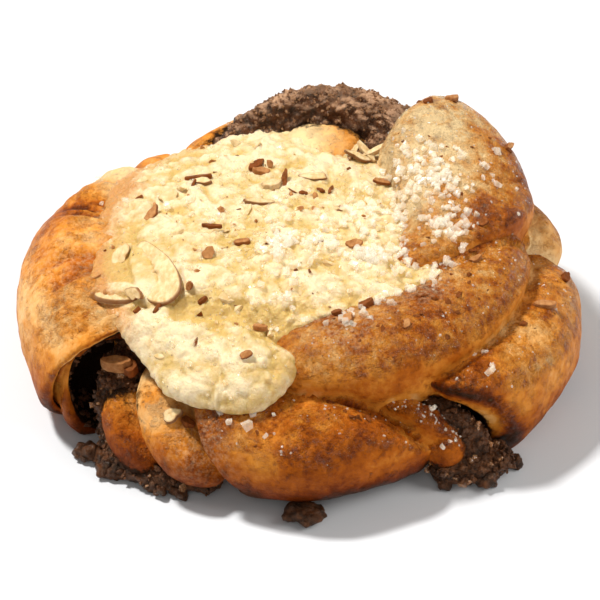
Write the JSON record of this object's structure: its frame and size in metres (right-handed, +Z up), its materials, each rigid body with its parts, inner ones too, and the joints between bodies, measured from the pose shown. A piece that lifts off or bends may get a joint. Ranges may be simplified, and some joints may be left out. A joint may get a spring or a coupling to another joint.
{
  "type": "cinnamon swirl",
  "caption": "Knotted yeast bun with a dark cinnamon filling, a pool of baked custard, pearl sugar and almond flakes.",
  "frame": {"origin": "on the flat underside, below the middle of the bun's bounding box", "axes": "+Z up; -Y towards the front, where the broad strand and the two open folds are; +X to the right"},
  "size_m": [0.1191, 0.111, 0.0461],
  "materials": {
    "dough": null,
    "filling": null,
    "custard": null,
    "almond": null
  },
  "bodies": {
    "root": {"dough": "dough", "cinnamon_filling": "filling", "custard": "custard", "almond_flake_large": "almond", "almond_flake_small": "almond"}
  },
  "joints": []
}
